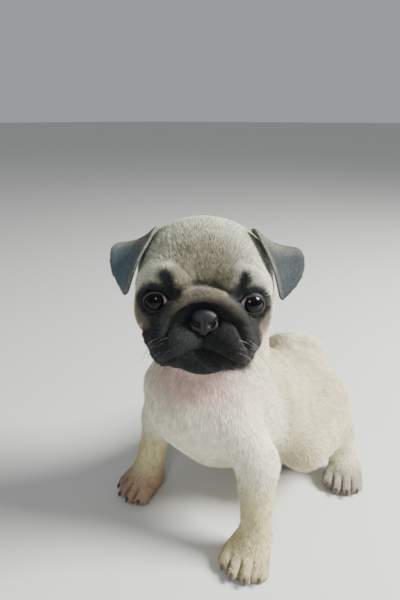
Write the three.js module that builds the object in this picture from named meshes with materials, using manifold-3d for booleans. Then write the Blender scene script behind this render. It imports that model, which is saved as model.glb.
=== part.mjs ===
// A pug puppy about eight weeks old, sitting, at life size. Lengths are in millimetres.
// +X is the puppy's left, +Y its back end and +Z up. It sits on the floor at z = 0, with the origin
// under the middle of its bounding box.
//
// The body is one smooth field, built from eggs and tapered limbs that melt into one another.
// Each sub-part is that field's surface in its own stretch, parted from the next by a thin plane cut.
// Eyes, nose leather, ears, tail and claws are shaped by themselves and set on it.

import * as THREE from "three";
import { mergeVertices } from "three/addons/utils/BufferGeometryUtils.js";
import Module from "manifold-3d";

const wasm = await Module();
wasm.setup();

// Driving dimensions
const HEAD_WIDTH = 82;
const EYE_SPACING = 48.5;
const EYEBALL_RADIUS = 8.6;
const HALF_STANCE = 50;
const FORELEG_RADIUS = 11;
const CLAW_LENGTH = 3.8;
const CLAW_ROUND = 6;
const EAR_THICKNESS = 2.4;
const EAR_SECTIONS = 14;
const EAR_ROUND = 12;
const EAR_FLARE = { left: 4, right: 0.6 };

// The clearance kept between two touching sub-parts
const GAP = 0.3;

// Mesh steps of the surfaces
const FACE_STEP = 3;
const SKULL_STEP = 7;
const MUZZLE_STEP = 3.3;
const NOSE_STEP = 2;
const NECK_STEP = 8;
const TORSO_STEP = 9.8;
const LEG_STEP = 6.8;
const THIGH_STEP = 8.4;
const PAW_STEP = 3.9;
const TAIL_STEP = 5.2;

const degrees = THREE.MathUtils.degToRad;
const at = (x, y, z) => new THREE.Vector3(x, y, z);

// Where the head is carried: the point between the eyes, turned to the puppy's left, nose a little up
const headPose = new THREE.Matrix4().compose(
  at(24, -11, 172),
  new THREE.Quaternion().setFromEuler(
    new THREE.Euler(degrees(-8), degrees(2), degrees(40), "ZYX"),
  ),
  at(1, 1, 1),
);

// Fields: a field is negative inside its shape and about the distance to it outside

function egg(centre, radii, turn = [0, 0, 0]) {
  const [rx, ry, rz] = radii;
  const frame = new THREE.Matrix4()
    .compose(
      at(...centre),
      new THREE.Quaternion().setFromEuler(new THREE.Euler(...turn.map(degrees))),
      at(1, 1, 1),
    )
    .invert().elements;
  return (x, y, z) => {
    const lx = (frame[0] * x + frame[4] * y + frame[8] * z + frame[12]) / rx;
    const ly = (frame[1] * x + frame[5] * y + frame[9] * z + frame[13]) / ry;
    const lz = (frame[2] * x + frame[6] * y + frame[10] * z + frame[14]) / rz;
    const share = Math.sqrt(lx * lx + ly * ly + lz * lz);
    const slope = Math.sqrt((lx / rx) ** 2 + (ly / ry) ** 2 + (lz / rz) ** 2);
    return slope < 1e-9 ? -Math.min(rx, ry, rz) : (share * (share - 1)) / slope;
  };
}

function limb(from, to, fromRadius, toRadius) {
  const [ax, ay, az] = from;
  const [dx, dy, dz] = to.map((value, i) => value - from[i]);
  const length2 = dx * dx + dy * dy + dz * dz;
  return (x, y, z) => {
    const px = x - ax;
    const py = y - ay;
    const pz = z - az;
    const along = Math.min(1, Math.max(0, (px * dx + py * dy + pz * dz) / length2));
    const away = Math.hypot(px - along * dx, py - along * dy, pz - along * dz);
    return away - fromRadius - along * (toRadius - fromRadius);
  };
}

function chain(points, radii) {
  const limbs = points
    .slice(1)
    .map((point, i) => limb(points[i], point, radii[i], radii[i + 1]));
  return (x, y, z) => Math.min(...limbs.map((one) => one(x, y, z)));
}

// Shapes melted together: their junctions are rounded over about the given width
function melt(width, ...shapes) {
  return (x, y, z) => {
    let sum = shapes[0](x, y, z);
    for (let i = 1; i < shapes.length; i++) {
      const next = shapes[i](x, y, z);
      const share = Math.max(width - Math.abs(sum - next), 0) / width;
      sum = Math.min(sum, next) - (share * share * width) / 4;
    }
    return sum;
  };
}

// A shape with a soft-edged hollow pressed into it
function pressed(width, shape, tool) {
  return (x, y, z) => {
    const solid = shape(x, y, z);
    const away = -tool(x, y, z);
    const share = Math.max(width - Math.abs(solid - away), 0) / width;
    return Math.max(solid, away) + (share * share * width) / 4;
  };
}

function moved(pose, shape) {
  const frame = pose.clone().invert().elements;
  return (x, y, z) =>
    shape(
      frame[0] * x + frame[4] * y + frame[8] * z + frame[12],
      frame[1] * x + frame[5] * y + frame[9] * z + frame[13],
      frame[2] * x + frame[6] * y + frame[10] * z + frame[14],
    );
}

const both = (make) => [make(1), make(-1)];

// Head, in its own frame: the origin is between the eyes, -Y is where the puppy looks

const halfEyes = EYE_SPACING / 2;
const halfHead = HEAD_WIDTH / 2;

const skullField = melt(
  9,
  egg([0, 29, 13], [halfHead - 1.5, 37, 31.7]),
  ...both((side) => egg([side * (halfHead - 16), 24, -9], [16, 21, 20])),
  ...both((side) => egg([side * 19, 1, 13], [12, 8, 8])),
  ...both((side) => egg([side * halfEyes, 3.5, 0], [12.2, 9.5, 11.5])),
  limb([0, 6, -22], [0, 24, -18], 16, 20),
);

// The roll of skin over the nose runs down on both sides to the cheeks
const foldLine = [
  [27, 0, -19.5],
  [21, -6.5, -9],
  [13, -10.5, 0.4],
  [0, -11.5, 5.4],
];
const acrossFace = (line) => [...line, ...line.slice(0, -1).reverse().map(([x, y, z]) => [-x, y, z])];
const noseFold = chain(acrossFace(foldLine), [6.5, 5.4, 4.5, 4.2, 4.5, 5.4, 6.5]);

const muzzleField = melt(
  5,
  ...both((side) => egg([side * 12.5, -8, -18.8], [14.5, 11.5, 11], [0, side * 18, 0])),
  ...both((side) => egg([side * 19, -2, -27], [11, 12, 10.5])),
  egg([0, -7, -31], [12, 10, 6.5]),
  egg([0, -8, -8], [9.5, 6, 8]),
);

const browFolds = both((side) =>
  chain(
    [
      [side * 9, -8.5, 4.5],
      [side * 13, -8.5, 11],
      [side * 21, -6, 15.5],
      [side * 30, 1, 14],
      [side * 37, 10, 7],
    ],
    [3.6, 4.2, 4, 3.4, 2.6],
  ),
);

const grooveLine = [
  [25, -4, -20],
  [18.5, -12, -11],
  [11, -15.5, -3.2],
  [0, -16.5, 0.4],
];
const headField = pressed(
  2.5,
  melt(4, melt(3, skullField, noseFold), muzzleField, ...browFolds),
  chain(acrossFace(grooveLine), [1.2, 1.3, 1.2, 1, 1.2, 1.3, 1.2]),
);

// Torso and neck

// The spine bends a little: towards the rump it lies more to the puppy's left
const spineAt = (y) => 3.2 + 0.085 * y;

const torsoField = melt(
  14,
  egg([spineAt(16), 17, 91], [36, 35, 50], [20, 0, 0]),
  egg([spineAt(0), -2, 98], [27, 23, 27]),
  egg([spineAt(56), 56, 72], [40, 50, 44], [-25, 0, 0]),
  egg([spineAt(106), 106, 46.5], [42, 39, 50], [-10, 0, 0]),
  egg([spineAt(26), 26, 126], [28, 28, 26]),
);
const neckField = limb([7.5, 21.5, 126], [11, 18.5, 171], 32, 30.5);

// Legs. The left and the right are given alike, from the spine outward, each to its own paw.

function foreLeg(side, paw) {
  const shoulder = [spineAt(4) + side * 24, 4, 102];
  const elbow = [spineAt(15) + side * 41.5, 15, 64];
  const wrist = [paw.x, paw.y + 9, 20];
  const forearm = elbow.map((value, i) => (value + wrist[i]) / 2);
  return melt(
    9,
    limb(shoulder, elbow, 16, 12.5),
    chain([elbow, forearm, wrist], [FORELEG_RADIUS + 2, FORELEG_RADIUS + 0.6, FORELEG_RADIUS]),
  );
}

function hindLeg(side, paw) {
  const hip = [spineAt(106) + side * 22.5, 106, 57];
  const knee = [spineAt(64) + side * 43, 64, 48.5];
  const hock = [spineAt(121) + side * 41, 121, 36];
  const shin = [spineAt(94) + side * 42, 94, 42];
  return melt(
    10,
    limb(hip, knee, 31, 15.5),
    chain([knee, shin, hock], [15, 13, 9.6]),
    limb(hock, [paw.x, paw.y + 6, 12], 9.2, 9.6),
  );
}

// A paw, in its own frame: the origin is on the floor under its middle, -Y is where the toes point
const toePlaces = [
  { x: -11.6, reach: -6.5 },
  { x: -4.3, reach: -11 },
  { x: 4.3, reach: -11 },
  { x: 11.6, reach: -6.5 },
];

function pawField(size) {
  return melt(
    2.4,
    egg([0, 6, 10], [12.6 * size, 13.5, 11]),
    ...toePlaces.map(({ x, reach }) =>
      limb([x * 0.8 * size, 1, 10.8], [x * size, reach, 4.8], 5.4, 5.2),
    ),
  );
}

const paws = {
  front_left: { side: 1, x: 3 + HALF_STANCE, y: -3.5, turn: 16, size: 1, front: true },
  front_right: { side: -1, x: 4.5 - HALF_STANCE, y: 0, turn: -6, size: 1, front: true },
  hind_left: { side: 1, x: 16 + HALF_STANCE, y: 105, turn: 24, size: 0.92, front: false },
  hind_right: { side: -1, x: 12 - HALF_STANCE, y: 104, turn: -22, size: 0.92, front: false },
};

for (const paw of Object.values(paws)) {
  paw.pose = new THREE.Matrix4()
    .makeTranslation(paw.x, paw.y, 0)
    .multiply(new THREE.Matrix4().makeRotationZ(degrees(paw.turn)));
  paw.field = moved(paw.pose, pawField(paw.size));
  paw.leg = paw.front ? foreLeg(paw.side, paw) : hindLeg(paw.side, paw);
}

const legFields = (front) =>
  Object.values(paws)
    .filter((paw) => paw.front === front)
    .map((paw) => melt(5, paw.leg, paw.field));
const bodyField = melt(6, melt(10, torsoField, ...legFields(false)), ...legFields(true));
const wholeField = melt(9, melt(14, bodyField, neckField), moved(headPose, headField));

// The slope of a field at a point
function slopeOf(field, [x, y, z], reach = 0.2) {
  const here = field(x, y, z);
  return [
    (field(x + reach, y, z) - here) / reach,
    (field(x, y + reach, z) - here) / reach,
    (field(x, y, z + reach) - here) / reach,
  ];
}

// A point moved straight out of or into a field until it lies at a height over its surface
function settled(field, point, height) {
  let spot = point;
  for (let i = 0; i < 8; i++) {
    const slope = slopeOf(field, spot);
    const steep = slope.reduce((sum, value) => sum + value * value, 0);
    const off = field(...spot) - height;
    spot = spot.map((value, axis) => value - (off * slope[axis]) / Math.max(steep, 0.2));
  }
  return spot;
}

// Tail: thick at the root, lying in a curl forward over the rump and over to the right hip
const tailPath = [
  { place: [14, 136, 60], radius: 8.6, height: -6 },
  { place: [19, 146, 74], radius: 8.2, height: 4 },
  { place: [20, 139, 90], radius: 7.9, height: 6.4 },
  { place: [15, 125, 99], radius: 7.5, height: 6.3 },
  { place: [6, 113, 103], radius: 7, height: 5.8 },
  { place: [-4, 110, 102], radius: 6.2, height: 5 },
  { place: [-11, 116, 97], radius: 4.8, height: 3.4 },
];
const tailField = chain(
  tailPath.map(({ place, height }) => settled(wholeField, place, height)),
  tailPath.map(({ radius }) => radius),
);

// The corners and the edges of a grid cell
const corners = [0, 1, 2, 3, 4, 5, 6, 7].map((n) => [n & 1, (n >> 1) & 1, n >> 2]);
const cellEdges = corners.flatMap((_, m) =>
  [1, 2, 4].map((bit) => [m, m ^ bit]).filter(([from, to]) => from < to),
);

// Whether the marked corners of a cell hang together along its edges
function hangTogether(marks) {
  let reached = marks & -marks;
  for (let pass = 0; pass < 4; pass++)
    for (const [m, n] of cellEdges) {
      const pair = (1 << m) | (1 << n);
      if ((marks & pair) === pair && reached & pair) reached |= pair;
    }
  return reached === marks;
}
const isPlain = Array.from(
  { length: 256 },
  (_, marks) => hangTogether(marks) && hangTogether(255 ^ marks),
);

// Grid lines from low to high, whose steps go from one size to another
function lines(low, high, first, last = first) {
  const marks = [low];
  while (marks.at(-1) < high) {
    const share = (marks.at(-1) - low) / (high - low);
    marks.push(marks.at(-1) + first + share * (last - first));
  }
  return marks;
}

// Grid lines that lie farther apart the farther they are from a middle
function linesFrom(middle, low, high, fine, coarse) {
  const reach = Math.max(high - middle, middle - low);
  const offsets = lines(0, reach, fine, coarse);
  const below = offsets.slice(1).reverse().map((offset) => middle - offset);
  const above = offsets.map((offset) => middle + offset);
  return [...below, ...above].filter((mark) => mark > low - coarse && mark < high + coarse);
}
const evenGrid = (low, high, step) => low.map((value, i) => lines(value, high[i], step));

// The surface of a field inside a grid, as a closed mesh of near-square faces.
// The grid may lie in a frame of its own, given by its pose.
function surfaceOf(field, grid, pose = new THREE.Matrix4()) {
  const [nx, ny, nz] = grid.map((marks) => marks.length);
  const index = (i, j, k) => i + nx * (j + ny * k);
  const m = pose.elements;
  const local = (x, y, z) =>
    field(
      m[0] * x + m[4] * y + m[8] * z + m[12],
      m[1] * x + m[5] * y + m[9] * z + m[13],
      m[2] * x + m[6] * y + m[10] * z + m[14],
    );
  const value = new Float32Array(nx * ny * nz);
  for (let k = 0; k < nz; k++)
    for (let j = 0; j < ny; j++)
      for (let i = 0; i < nx; i++) {
        const border = i * j * k === 0 || i === nx - 1 || j === ny - 1 || k === nz - 1;
        const here = local(grid[0][i], grid[1][j], grid[2][k]);
        value[index(i, j, k)] = border ? Math.max(here, 1) : here;
      }

  // In a cell with two sheets of surface, the outside corner nearest to it is filled in
  for (let changed = true; changed; ) {
    changed = false;
    for (let k = 0; k < nz - 1; k++)
      for (let j = 0; j < ny - 1; j++)
        for (let i = 0; i < nx - 1; i++) {
          const spots = corners.map(([a, b, c]) => index(i + a, j + b, k + c));
          const marks = spots.reduce((sum, spot, n) => sum | (value[spot] < 0 ? 1 << n : 0), 0);
          if (isPlain[marks]) continue;
          const outside = spots.filter((spot) => value[spot] >= 0);
          value[outside.reduce((a, b) => (value[a] < value[b] ? a : b))] = -0.1;
          changed = true;
        }
  }

  const positions = [];
  const vertexOf = new Int32Array(nx * ny * nz).fill(-1);
  for (let k = 0; k < nz - 1; k++)
    for (let j = 0; j < ny - 1; j++)
      for (let i = 0; i < nx - 1; i++) {
        const inCell = corners.map(([a, b, c]) => value[index(i + a, j + b, k + c)]);
        const sum = [0, 0, 0];
        let crossings = 0;
        for (const [from, to] of cellEdges) {
          if (inCell[from] < 0 === inCell[to] < 0) continue;
          const share = inCell[from] / (inCell[from] - inCell[to]);
          for (let axis = 0; axis < 3; axis++)
            sum[axis] += corners[from][axis] + share * (corners[to][axis] - corners[from][axis]);
          crossings++;
        }
        if (!crossings) continue;
        const sizes = [i, j, k].map((n, axis) => grid[axis][n + 1] - grid[axis][n]);
        const centre = [i, j, k].map(
          (n, axis) => grid[axis][n] + (sum[axis] / crossings) * sizes[axis],
        );
        vertexOf[index(i, j, k)] = positions.length / 3;
        positions.push(...onSurface(local, centre, Math.min(...sizes)));
      }

  const faces = [];
  const strides = [1, nx, nx * ny];
  for (let k = 0; k < nz - 1; k++)
    for (let j = 0; j < ny - 1; j++)
      for (let i = 0; i < nx - 1; i++)
        for (let axis = 0; axis < 3; axis++) {
          const spot = [i, j, k];
          const u = (axis + 1) % 3;
          const v = (axis + 2) % 3;
          if (spot[u] === 0 || spot[v] === 0) continue;
          const here = index(i, j, k);
          const inside = value[here] < 0;
          if (inside === value[here + strides[axis]] < 0) continue;
          const ring = [
            vertexOf[here - strides[u] - strides[v]],
            vertexOf[here - strides[v]],
            vertexOf[here],
            vertexOf[here - strides[u]],
          ];
          if (!inside) ring.reverse();
          faces.push(...quad(positions, ring));
        }
  return solidFrom(placed(positions, pose), new Uint32Array(faces));
}

// A flat list of coordinates, carried by a pose
function placed(positions, pose) {
  const attribute = new THREE.BufferAttribute(new Float32Array(positions), 3);
  return attribute.applyMatrix4(pose).array;
}

// Slides a vertex along the field's slope until it lies on the surface
function onSurface(field, point, step) {
  const here = field(...point);
  if (Math.abs(here) > step) return point;
  const slope = slopeOf(field, point, step * 0.05);
  const steep = slope[0] ** 2 + slope[1] ** 2 + slope[2] ** 2;
  const limit = step * 0.4;
  return point.map(
    (value, axis) =>
      value - THREE.MathUtils.clamp((here * slope[axis]) / Math.max(steep, 0.2), -limit, limit),
  );
}

// A quad as two triangles, split along its shorter diagonal
function quad(positions, [a, b, c, d]) {
  const apart = (m, n) =>
    Math.hypot(
      positions[3 * m] - positions[3 * n],
      positions[3 * m + 1] - positions[3 * n + 1],
      positions[3 * m + 2] - positions[3 * n + 2],
    );
  return apart(a, c) <= apart(b, d) ? [a, b, c, a, c, d] : [a, b, d, b, c, d];
}

// Solids and their joins and cuts

function solidFrom(vertProperties, triVerts) {
  return new wasm.Manifold(new wasm.Mesh({ numProp: 3, vertProperties, triVerts }));
}

function solidOf(geometry, pose = new THREE.Matrix4()) {
  const bare = geometry.clone().applyMatrix4(pose);
  bare.deleteAttribute("normal");
  bare.deleteAttribute("uv");
  const merged = mergeVertices(bare, 1e-3);
  return solidFrom(merged.attributes.position.array, new Uint32Array(merged.index.array));
}

function geometryOf(solid) {
  const mesh = solid.getMesh();
  const geometry = new THREE.BufferGeometry();
  geometry.setAttribute("position", new THREE.BufferAttribute(mesh.vertProperties, 3));
  geometry.setIndex(new THREE.BufferAttribute(mesh.triVerts, 1));
  geometry.computeVertexNormals();
  return geometry;
}

// The largest closed body of a solid, without loose scraps
function largest(solid) {
  return solid
    .decompose()
    .reduce((best, piece) => (piece.volume() > best.volume() ? piece : best));
}

// A large block whose one face lies on a plane, filling the side that the normal points to
function beyond(point, normal, offset = GAP / 2) {
  const size = 500;
  const towards = at(...normal).normalize();
  const turn = new THREE.Quaternion().setFromUnitVectors(at(0, 0, 1), towards);
  const centre = at(...point).addScaledVector(towards, size / 2 + offset);
  return solidOf(
    new THREE.BoxGeometry(size, size, size),
    new THREE.Matrix4().compose(centre, turn, at(1, 1, 1)),
  );
}

function block(centre, sizes, turn = [0, 0, 0], grow = 0) {
  const euler = new THREE.Euler(...turn.map(degrees));
  return solidOf(
    new THREE.BoxGeometry(...sizes.map((size) => size + 2 * grow)),
    new THREE.Matrix4().compose(
      at(...centre),
      new THREE.Quaternion().setFromEuler(euler),
      at(1, 1, 1),
    ),
  );
}

const opposite = (normal) => normal.map((value) => -value);
const inHead = (x, y, z) => at(x, y, z).applyMatrix4(headPose).toArray();
const headWay = (x, y, z) => at(x, y, z).transformDirection(headPose).toArray();

// Head: parted from the neck behind the jaw, and its muzzle parted along the groove of the nose fold

const jawCut = { point: inHead(0, -2, -38), normal: headWay(0, -0.74, 0.67) };
const headGrid = (fine, coarse) => [
  linesFrom(0, -48, 48, fine, coarse),
  linesFrom(-12, -24, 76, fine, coarse * 1.3),
  linesFrom(-2, -54, 50, fine, coarse),
];
const headSide = beyond(jawCut.point, jawCut.normal);

// The room of the muzzle: all that lies in front of the groove under the nose fold
function muzzlePlug(grow) {
  const line = acrossFace([[31, 0, -28], ...grooveLine]).map(([x, , z]) => [x, z]);
  const swelling = line.map(([x, z]) => {
    const away = new THREE.Vector2(x, z + 24).normalize().multiplyScalar(grow);
    return new THREE.Vector2(x + away.x, z + away.y);
  });
  const curve = new THREE.SplineCurve(swelling).getPoints(32);
  const outline = new THREE.Shape([
    ...curve,
    new THREE.Vector2(-31 - grow, -60),
    new THREE.Vector2(31 + grow, -60),
  ]);
  const plug = new THREE.ExtrudeGeometry(outline, { depth: 44, bevelEnabled: false });
  plug.rotateX(degrees(90));
  plug.translate(0, 5 + grow, 0);
  return solidOf(plug, headPose);
}

const ball = (radius, x, y, z, segments = 20) =>
  solidOf(
    new THREE.SphereGeometry(radius, segments, segments - 6),
    headPose.clone().multiply(new THREE.Matrix4().makeTranslation(x, y, z)),
  );

// Where a line that comes from the front of the face, at x and z, meets the head's surface
function faceDepth(x, z, field = headField) {
  let y = -40;
  for (let i = 0; i < 60; i++) y += 0.8 * field(x, y, z);
  return y;
}

// A tube along points given in the head's frame
function headTube(points, radius, sides = 6, closed = false) {
  const path = new THREE.CatmullRomCurve3(
    points.map((point) => at(...point)),
    closed,
  );
  const section = new THREE.Shape(
    Array.from({ length: sides }, (_, i) => {
      const angle = (2 * Math.PI * i) / sides;
      return new THREE.Vector2(radius * Math.cos(angle), radius * Math.sin(angle));
    }),
  );
  const steps = (points.length - 1) * 2;
  const tube = new THREE.ExtrudeGeometry(section, { extrudePath: path, steps, bevelEnabled: false });
  return solidOf(tube, headPose);
}

// An eyelid is a ring of flesh that wraps the eyeball round its opening
const LID_OPENING = 6.9;
const LID_RADIUS = 1.5;

function lid(side) {
  const ring = new THREE.TorusGeometry(LID_OPENING + 0.9, LID_RADIUS, 6, 20);
  const depth = Math.sqrt(EYEBALL_RADIUS ** 2 - LID_OPENING ** 2) - 0.4;
  const pose = headPose
    .clone()
    .multiply(new THREE.Matrix4().makeTranslation(side * halfEyes, 0, 0))
    .multiply(new THREE.Matrix4().makeRotationZ(degrees(side * 14)))
    .multiply(new THREE.Matrix4().makeTranslation(0, -depth, 0))
    .multiply(new THREE.Matrix4().makeRotationX(degrees(90)));
  return solidOf(ring, pose);
}

function mouthCutters() {
  const corner = 23;
  const line = Array.from({ length: 13 }, (_, i) => {
    const x = -corner + (2 * corner * i) / 12;
    const z = -22.8 - 8.5 * (Math.abs(x) / corner) ** 1.6;
    return [x, faceDepth(x, z) - 0.2, z];
  });
  const philtrum = Array.from({ length: 4 }, (_, i) => {
    const z = -14.5 - 2.8 * i;
    return [0, faceDepth(0, z) - 0.2, z];
  });
  return [headTube(line, 1.1), headTube(philtrum, 0.9)];
}

// Nose leather: a broad pad with a slit nostril on each side
const noseField = melt(
  3,
  egg([0, -15.2, -5.6], [7.4, 4.6, 4.6]),
  ...both((side) => egg([side * 4.6, -15, -8.7], [3.6, 4.2, 4.2])),
  egg([0, -15.6, -11.8], [2.4, 3.2, 4]),
);

// A nostril is round by the middle of the nose and runs out to the side as a slit
function nostril(side) {
  const places = [[3.4, -8.9], [4.6, -8.7], [6.1, -7.7], [7.6, -6.5]];
  const line = places.map(([x, z], i) => [side * x, faceDepth(x, z, noseField) + 0.4 - 0.2 * i, z]);
  return headTube(line, 1.1).add(headTube(line.slice(0, 2), 1.5));
}

function grown(field, amount) {
  return (x, y, z) => field(x, y, z) - amount;
}

const noseGrid = (step) => evenGrid([-12, -24, -24], [12, -6, 2], step);
const noseInBody = moved(headPose, noseField);
const nosePocket = surfaceOf(grown(noseInBody, GAP + 0.15), noseGrid(NOSE_STEP * 1.1), headPose);

function headNodes() {
  const cover = surfaceOf(wholeField, headGrid(FACE_STEP, SKULL_STEP), headPose).intersect(headSide);
  const muzzleGrid = evenGrid([-34, -30, -52], [34, 12, 2], MUZZLE_STEP);
  const fine = surfaceOf(wholeField, muzzleGrid, headPose).intersect(headSide);
  let skull = cover.subtract(muzzlePlug(GAP / 2)).subtract(nosePocket);
  for (const side of [1, -1]) {
    skull = skull.add(lid(side)).subtract(ball(EYEBALL_RADIUS + GAP, side * halfEyes, 0, 0, 16));
  }
  let muzzle = fine.intersect(muzzlePlug(-GAP / 2)).subtract(nosePocket);
  for (const groove of mouthCutters()) muzzle = muzzle.subtract(groove);
  return { skull: largest(skull), muzzle: largest(muzzle) };
}

// Eyes: a ball with the cornea's slight bulge
function eyeSolid(side) {
  const bulge = ball(EYEBALL_RADIUS * 0.72, side * halfEyes, -EYEBALL_RADIUS * 0.36, 0, 14);
  return ball(EYEBALL_RADIUS, side * halfEyes, 0, 0, 16).add(bulge);
}

// Ears: a thin flap that rises from the skull, folds over at its crest and hangs forward to its tip.
// Each station gives its inner and its outer edge, and how far the flap bulges between them.
const earStations = [
  { inner: [21, 23, 32], outer: [36, 43, 12], bulge: 1 },
  { inner: [23.5, 21, 36], outer: [44, 39.5, 21.5], bulge: 2.5 },
  { inner: [25.5, 18.5, 38.5], outer: [50.5, 33.5, 26], bulge: 4.2 },
  { inner: [27.5, 14.5, 37.5], outer: [54, 27.5, 23.5], bulge: 5 },
  { inner: [29.5, 11, 33], outer: [53.8, 22.5, 16.5], bulge: 4.4 },
  { inner: [33, 8.5, 27], outer: [52.3, 18, 11.5], bulge: 3.4 },
  { inner: [37, 7, 18], outer: [49, 13.5, 6.5], bulge: 2.4 },
  { inner: [40, 6.5, 9], outer: [46, 10.5, 2.5], bulge: 1.2 },
  { inner: [41.8, 7, 2], outer: [43.8, 8.5, 0], bulge: 0.3 },
];

// A surface lofted through rings of points, closed at both ends
function loft(rings, pose) {
  const round = rings[0].length;
  const positions = rings.flatMap((points) => points.flatMap((point) => point.toArray()));
  const spot = (s, r) => s * round + (r % round);
  const last = rings.length - 1;
  const faces = [];
  for (let s = 0; s < last; s++)
    for (let r = 0; r < round; r++)
      faces.push(
        ...quad(positions, [spot(s, r), spot(s, r + 1), spot(s + 1, r + 1), spot(s + 1, r)]),
      );
  for (let r = 1; r < round - 1; r++) {
    faces.push(spot(0, 0), spot(0, r + 1), spot(0, r));
    faces.push(spot(last, 0), spot(last, r), spot(last, r + 1));
  }
  return solidFrom(placed(positions, pose), new Uint32Array(faces));
}

function earSolid(side, flare) {
  const edges = ["inner", "outer"].map(
    (edge) => new THREE.CatmullRomCurve3(earStations.map((station) => at(...station[edge]))),
  );
  const bulges = new THREE.SplineCurve(
    earStations.map(({ bulge }, i) => new THREE.Vector2(i, bulge)),
  );
  const middle = (t) => edges[0].getPoint(t).add(edges[1].getPoint(t)).multiplyScalar(0.5);
  const rings = Array.from({ length: EAR_SECTIONS + 1 }, (_, s) => {
    const t = s / EAR_SECTIONS;
    const [inner, outer] = edges.map((edge) => edge.getPoint(t));
    outer.addScaledVector(at(1, 0, 0.3), flare * Math.sin(Math.PI * t));
    const across = outer.clone().sub(inner);
    const along = middle(Math.min(1, t + 0.02)).sub(middle(Math.max(0, t - 0.02)));
    const out = new THREE.Vector3().crossVectors(across, along).normalize();
    const thick = EAR_THICKNESS * (1 - 0.4 * t);
    return Array.from({ length: EAR_ROUND }, (_, r) => {
      const angle = (2 * Math.PI * r) / EAR_ROUND;
      const place = Math.cos(angle);
      const lift = bulges.getPoint(t).y * (1 - place * place) + (Math.sin(angle) * thick) / 2;
      const point = inner.clone().addScaledVector(across, 0.5 + 0.5 * place);
      point.addScaledVector(out, lift);
      point.x *= side;
      return point;
    });
  });
  if (side > 0) rings.forEach((ring) => ring.reverse());
  return loft(rings, headPose);
}

const earClear = surfaceOf(grown(wholeField, GAP + 0.1), headGrid(SKULL_STEP, SKULL_STEP), headPose);

// Body: neck, torso, four legs and four paws, each cut from the same surface

const shoulderCut = { point: [2, 16, 130], normal: [0, -0.42, 0.9] };
const bodyLow = [-110, -60, -12];
const bodyHigh = [112, 175, 190];
const floor = beyond([0, 0, 0], [0, 0, 1], 0);

const legRooms = {
  front_left: { centre: [66, 0, 35], sizes: [90, 90, 94], turn: [0, 16, 0] },
  front_right: { centre: [-58.4, 0, 35], sizes: [90, 90, 94], turn: [0, -16, 0] },
  hind_left: { centre: [72, 104, 38], sizes: [84, 110, 88], turn: [0, 14, 0] },
  hind_right: { centre: [-48, 104, 38], sizes: [84, 110, 88], turn: [0, -14, 0] },
};

const legRoom = (name, grow) => {
  const { centre, sizes, turn } = legRooms[name];
  return block(centre, sizes, turn, grow);
};

// The room of a paw, below the wrist or the ankle
function pawRoom(paw, grow) {
  const { centre, sizes, lean } = paw.front
    ? { centre: [0, -2, 3], sizes: [56, 50, 32], lean: -16 }
    : { centre: [0, -1, 3], sizes: [52, 46, 32], lean: -30 };
  const pose = paw.pose
    .clone()
    .multiply(new THREE.Matrix4().makeTranslation(...centre))
    .multiply(new THREE.Matrix4().makeRotationX(degrees(lean)));
  return solidOf(new THREE.BoxGeometry(...sizes.map((size) => size + 2 * grow)), pose);
}

function pawGrid(paw, margin = 26) {
  return evenGrid(
    [paw.x - margin, paw.y - margin - 4, -6],
    [paw.x + margin, paw.y + margin + 6, 34],
    PAW_STEP,
  );
}

function bodyNodes() {
  const nodes = {};
  const trunk = surfaceOf(wholeField, evenGrid(bodyLow, bodyHigh, TORSO_STEP));
  const neckCover = surfaceOf(wholeField, evenGrid(bodyLow, bodyHigh, NECK_STEP));
  const belowHead = beyond(jawCut.point, opposite(jawCut.normal));
  const aboveShoulder = beyond(shoulderCut.point, shoulderCut.normal);
  const belowShoulder = beyond(shoulderCut.point, opposite(shoulderCut.normal));
  nodes.neck = neckCover.intersect(belowHead).intersect(aboveShoulder);
  let torso = trunk.intersect(belowHead).intersect(belowShoulder).intersect(floor);
  for (const [name, paw] of Object.entries(paws)) {
    torso = torso.subtract(legRoom(name, GAP / 2));
    const step = paw.front ? LEG_STEP : THIGH_STEP;
    const leg = surfaceOf(wholeField, evenGrid(bodyLow, [112, 175, 112], step))
      .intersect(legRoom(name, -GAP / 2))
      .intersect(floor);
    const paving = surfaceOf(wholeField, pawGrid(paw));
    const room = legRoom(name, -GAP / 2);
    nodes[`leg_${name}`] = leg.subtract(pawRoom(paw, GAP / 2));
    nodes[`paw_${name}`] = paving
      .intersect(room)
      .intersect(pawRoom(paw, -GAP / 2))
      .intersect(floor);
  }
  nodes.torso = torso;
  return nodes;
}

// Claws: a short curved horn at the end of each toe
function clawSolid(paw, { x, reach }) {
  const root = at(x * paw.size, reach - 3.4, 6.2);
  const bend = at(x * paw.size * 1.02, reach - 3.4 - CLAW_LENGTH * 0.55, 5.4);
  const tip = at(x * paw.size * 1.03, reach - 3.4 - CLAW_LENGTH * 0.85, 3);
  return horn([root, bend, tip], [1.5, 1.2, 0.4], paw.pose);
}

// A horn with round sections of falling radius along a bent line
function horn(points, radii, pose) {
  const path = new THREE.CatmullRomCurve3(points);
  const frames = path.computeFrenetFrames(radii.length - 1);
  const rings = radii.map((radius, s) => {
    const centre = path.getPointAt(s / (radii.length - 1));
    return Array.from({ length: CLAW_ROUND }, (_, r) => {
      const angle = (2 * Math.PI * r) / CLAW_ROUND;
      return centre
        .clone()
        .addScaledVector(frames.normals[s], radius * Math.cos(angle))
        .addScaledVector(frames.binormals[s], radius * Math.sin(angle));
    });
  });
  return loft(rings, pose);
}

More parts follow.
